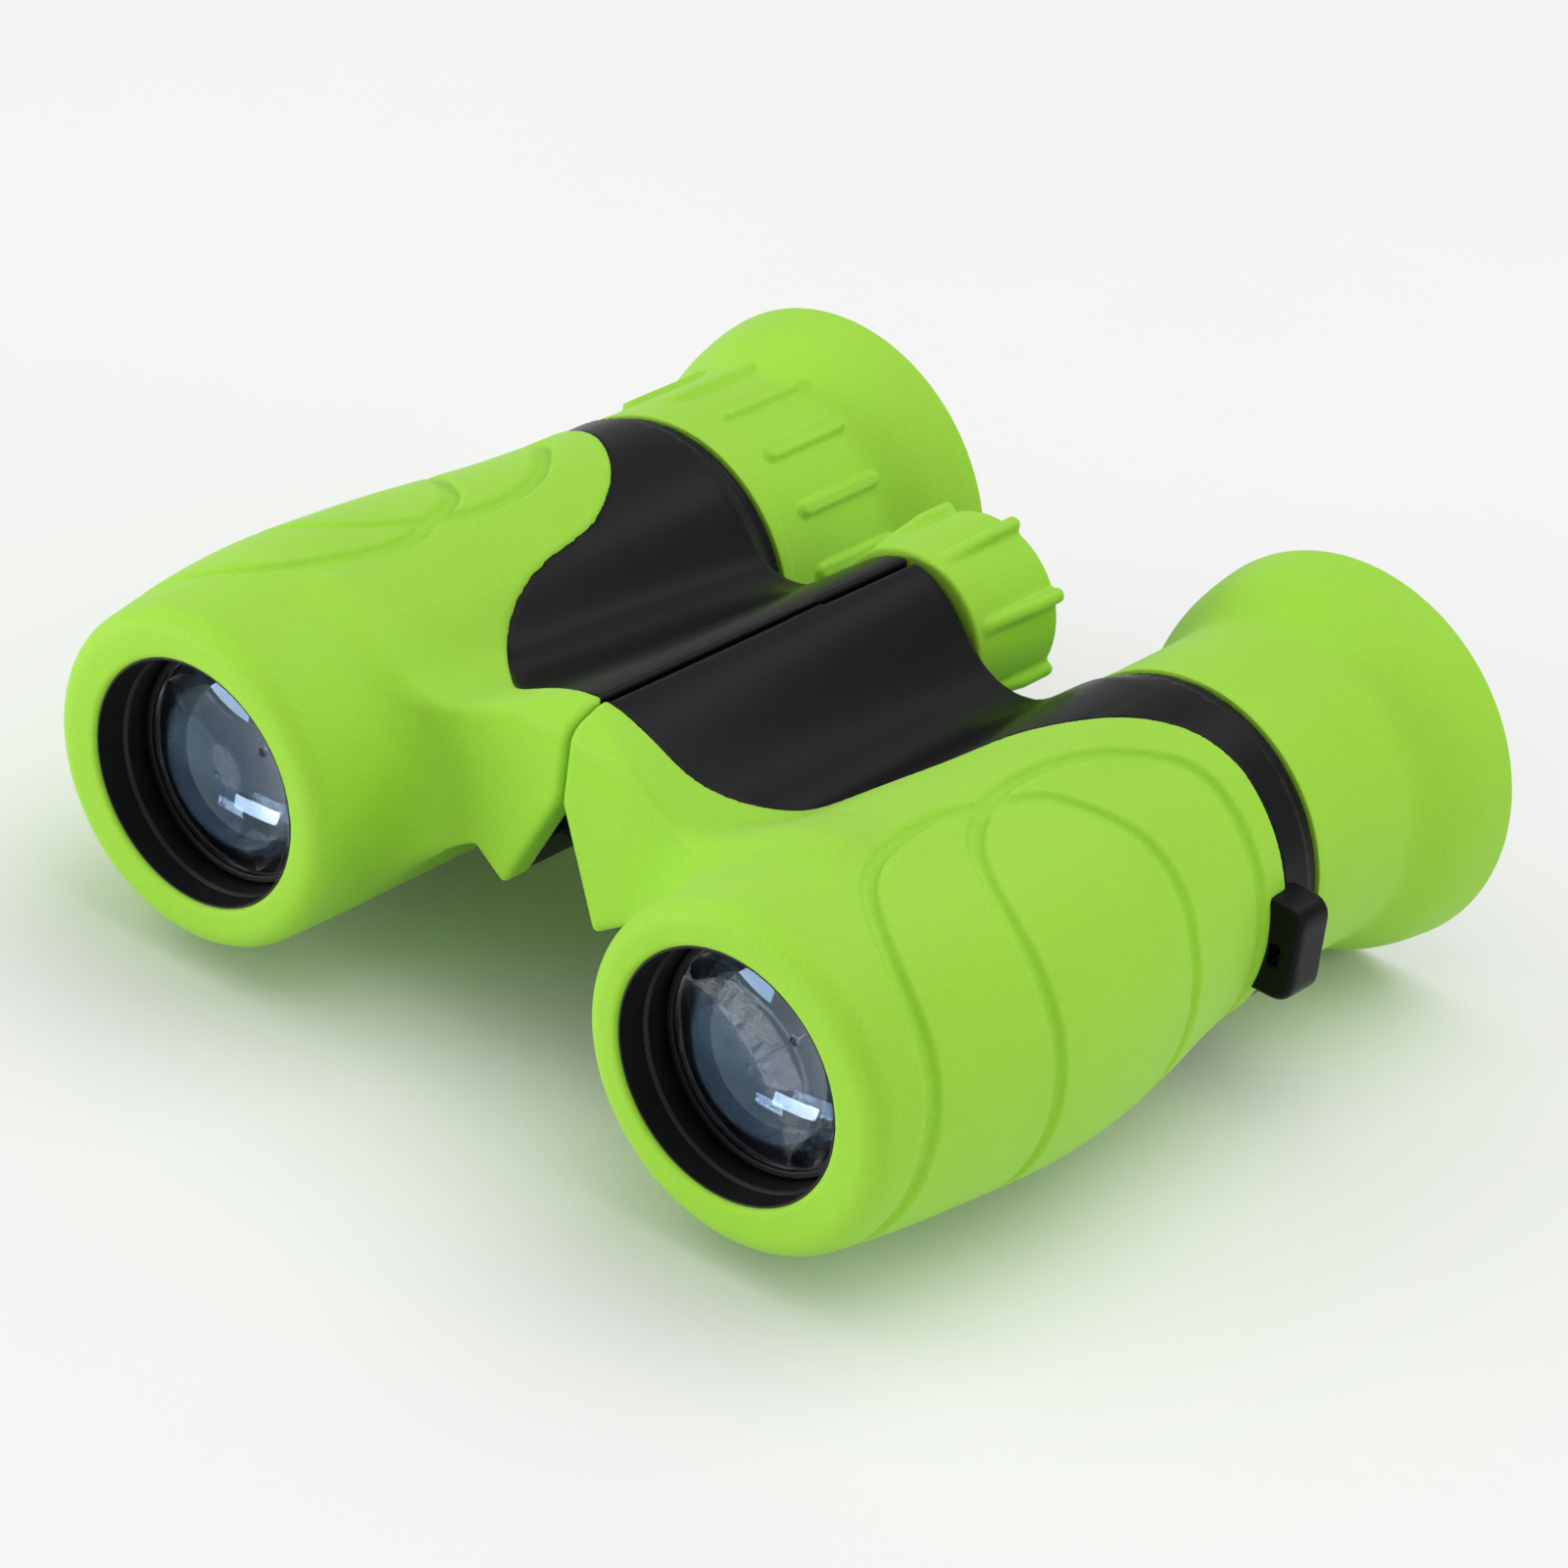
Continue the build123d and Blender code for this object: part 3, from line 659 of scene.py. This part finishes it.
# ---------------------------------------------------------------- eyecups
def cup_profile(start):
    """Outline of the eyecup; start is where its flare begins."""
    flare = through(((CUP_R, start - 1.5), (16.66, start), (17.6, start + 2.4), (18.9, start + 5.1),
                     (19.75, start + 7.9), (20.2, 94.2)), 0.4)
    rim = filleted(((20.2, 94.2, 0), (20.35, RIM_Y, 0.45), (19.0, RIM_Y, 0.45), (18.7, 94.6, 0)))
    inner = through(((18.7, 94.6), (18.0, 92.2), (16.9, 89.6), (15.2, 87.3), (13.4, 86.2)), 0.5)
    foot = filleted(((13.4, 86.2, 0), (13.0, 86.02, 0), (15.42, 86.0, 0), (15.42, CUP_FRONT, 0),
                     (16.66, CUP_FRONT, 0.2), (16.66, 69.6, 0.05), (CUP_R, 70.0, 0.1),
                     (CUP_R, start - 1.5, 0)))
    outline = np.concatenate([flare[:-1], rim[1:-1], inner[:-1], foot[1:-1]])
    return densified(outline, 0.35)


def grip_bars(angle, along, radius):
    """Bars round the turning eyecup."""
    pitch = 2 * math.pi / BARS
    across = np.abs((angle + BAR_PHASE + pitch / 2) % pitch - pitch / 2) * radius
    length = np.abs(along - BAR_MIDDLE) - BAR_HALF
    bar = np.hypot(np.maximum(length, 0), across)
    climb = np.clip((BAR_WIDE - bar) / 0.45, 0, 1)
    height = BAR_HIGH * climb ** 2 * (3 - 2 * climb)
    return np.where(radius > 16.4, height, 0)


for side, segments, relief in (("left", 240, None), ("right", 540, grip_bars)):
    verts, quads = lathe(cup_profile(FLARE[side]), segments, relief)
    verts = verts + (AXIS_X, 0, 0)
    stand_for(add_mesh(side + "_rubber_eyecup", verts, quads, mirrored=side == "right"), side + "_eyecup")


# ---------------------------------------------------------------- optics
def cap_curve(radius, y, bulge, outward, count=24):
    """Spherical face from the edge to the axis as (radius, y) points."""
    curve = (radius ** 2 + bulge ** 2) / (2 * abs(bulge))
    r = np.linspace(radius, 0.02, count)
    rise = np.sqrt(curve ** 2 - r ** 2) - math.sqrt(curve ** 2 - radius ** 2)
    return np.stack([r, y + outward * math.copysign(1, bulge) * rise], 1)


def lens_outline(radius, y0, y1, front, rear):
    """Outline of a lens with its edge from y0 to y1."""
    face = cap_curve(radius, y0, front, -1)
    back = cap_curve(radius, y1, rear, 1)[::-1]
    return np.concatenate([face[::-1], back[::-1]])


# Sections as (radius, y, fillet).
TUBE = ((BORE_R, LIP, 0.06), (MOUTH_R - 0.02, LIP, 0.04), (MOUTH_R - 0.02, TUBE_STEP, 0),
        (TUBE_R, TUBE_STEP, 0), (TUBE_R, TUBE_END, 0), (12.28, TUBE_END, 0), (12.28, 9, 0), (12.0, 9, 0),
        (12.15, 4.05, 0.1), (12.3, 3.85, 0.06), (BORE_R, 3.7, 0.06))
RETAINER = ((11.25, 6.3, 0.1), (11.85, 6.3, 0.05), (11.85, 6.84, 0), (11.25, 6.84, 0.05))
for side in ("left", "right"):
    for name, node, outline in (
            ("bore_tube", "objective_tube", filleted(TUBE)),
            ("lens_ring", "objective_retainer", filleted(RETAINER)),
            ("front_lens", "crown_lens", lens_outline(11.35, 6.9, 10.4, 3.4, 2.2)),
            ("rear_lens", "flint_lens", lens_outline(11.35, 10.4, 14.4, -2.2, 0.2)),
            ("lens_to_eye", "eye_lens", lens_outline(8.15, 79.2, 81.6, 0.6, 0.6))):
        verts, quads = lathe(outline, 160)
        if name == "bore_tube":
            verts[:, 1] -= verts[:, 2] * math.tan(FRONT_TILT) * np.clip(3.4 - verts[:, 1], 0, 1)
        verts = verts + (AXIS_X, 0, 0)
        piece = add_mesh(side + "_" + name, verts, quads, mirrored=side == "right")
        stand_for(piece, side + "_" + node)

# ---------------------------------------------------------------- floor, light, camera
FLOOR_HALF = 1500
floor_z = (cad_bounds[0][2] - ORIGIN[2]) / MM
corners = [(FLOOR_HALF * i, FLOOR_HALF * j, floor_z) for i, j in ((-1, -1), (1, -1), (1, 1), (-1, 1))]
floor = add_mesh("studio_floor", corners, [(0, 1, 2, 3)])
floor.data.materials.append(plain_finish("floor_pale", (0.90, 0.90, 0.90), (0.92, 0.92, 0.92), (0.75, 0.85),
                                         60, 0.00002))

world = bpy.data.worlds.new("studio_air")
world.use_nodes = True
world.node_tree.nodes["Background"].inputs["Color"].default_value = (1, 1, 1, 1)
world.node_tree.nodes["Background"].inputs["Strength"].default_value = 0.52
scene.world = world
scene.view_settings.view_transform = "Standard"

middle = Vector(row((0, 45, 0)))


def softbox(name, azimuth, elevation, distance, width, height, power):
    """Rectangular area light that faces the object."""
    a, e = math.radians(azimuth), math.radians(elevation)
    light = bpy.data.lights.new(name, "AREA")
    light.shape = "RECTANGLE"
    light.size, light.size_y = width, height
    light.energy = power
    obj = bpy.data.objects.new(name, light)
    way = Vector((math.sin(a) * math.cos(e), -math.cos(a) * math.cos(e), math.sin(e)))
    obj.location = middle + distance * way
    obj.rotation_euler = way.to_track_quat("Z", "Y").to_euler()
    obj.visible_camera = False
    scene.collection.objects.link(obj)


softbox("light_top", 150, 72, 0.9, 1.0, 1.0, 4.4)
softbox("light_left", -60, 40, 1.0, 0.7, 0.7, 1.0)
softbox("light_low", -40, 6, 0.9, 0.55, 0.15, 3.3)
softbox("light_right", 95, 25, 1.1, 0.5, 0.7, 1.2)

CAMERA_AZ, CAMERA_EL, CAMERA_ROLL = (math.radians(a) for a in (35.82, 29.48, 7.91))
CAMERA_FAR = 636.8
LENS = 153.86625
SENSOR = 36.0
target = Vector(row((6.34, 40, 3.65)))
back = Vector((math.sin(CAMERA_AZ) * math.cos(CAMERA_EL), -math.cos(CAMERA_AZ) * math.cos(CAMERA_EL),
               math.sin(CAMERA_EL)))
level = Vector((math.cos(CAMERA_AZ), math.sin(CAMERA_AZ), 0))
upright = back.cross(level)
right = level * math.cos(CAMERA_ROLL) + upright * math.sin(CAMERA_ROLL)
up = back.cross(right)
camera_data = bpy.data.cameras.new("camera")
camera_data.sensor_width = SENSOR
camera_data.lens = LENS
camera_data.clip_end = 20
camera = bpy.data.objects.new("camera", camera_data)
turned = Matrix((right, up, back)).transposed().to_4x4()
camera.matrix_world = Matrix.Translation(target + back * CAMERA_FAR * MM) @ turned
scene.collection.objects.link(camera)
scene.camera = camera
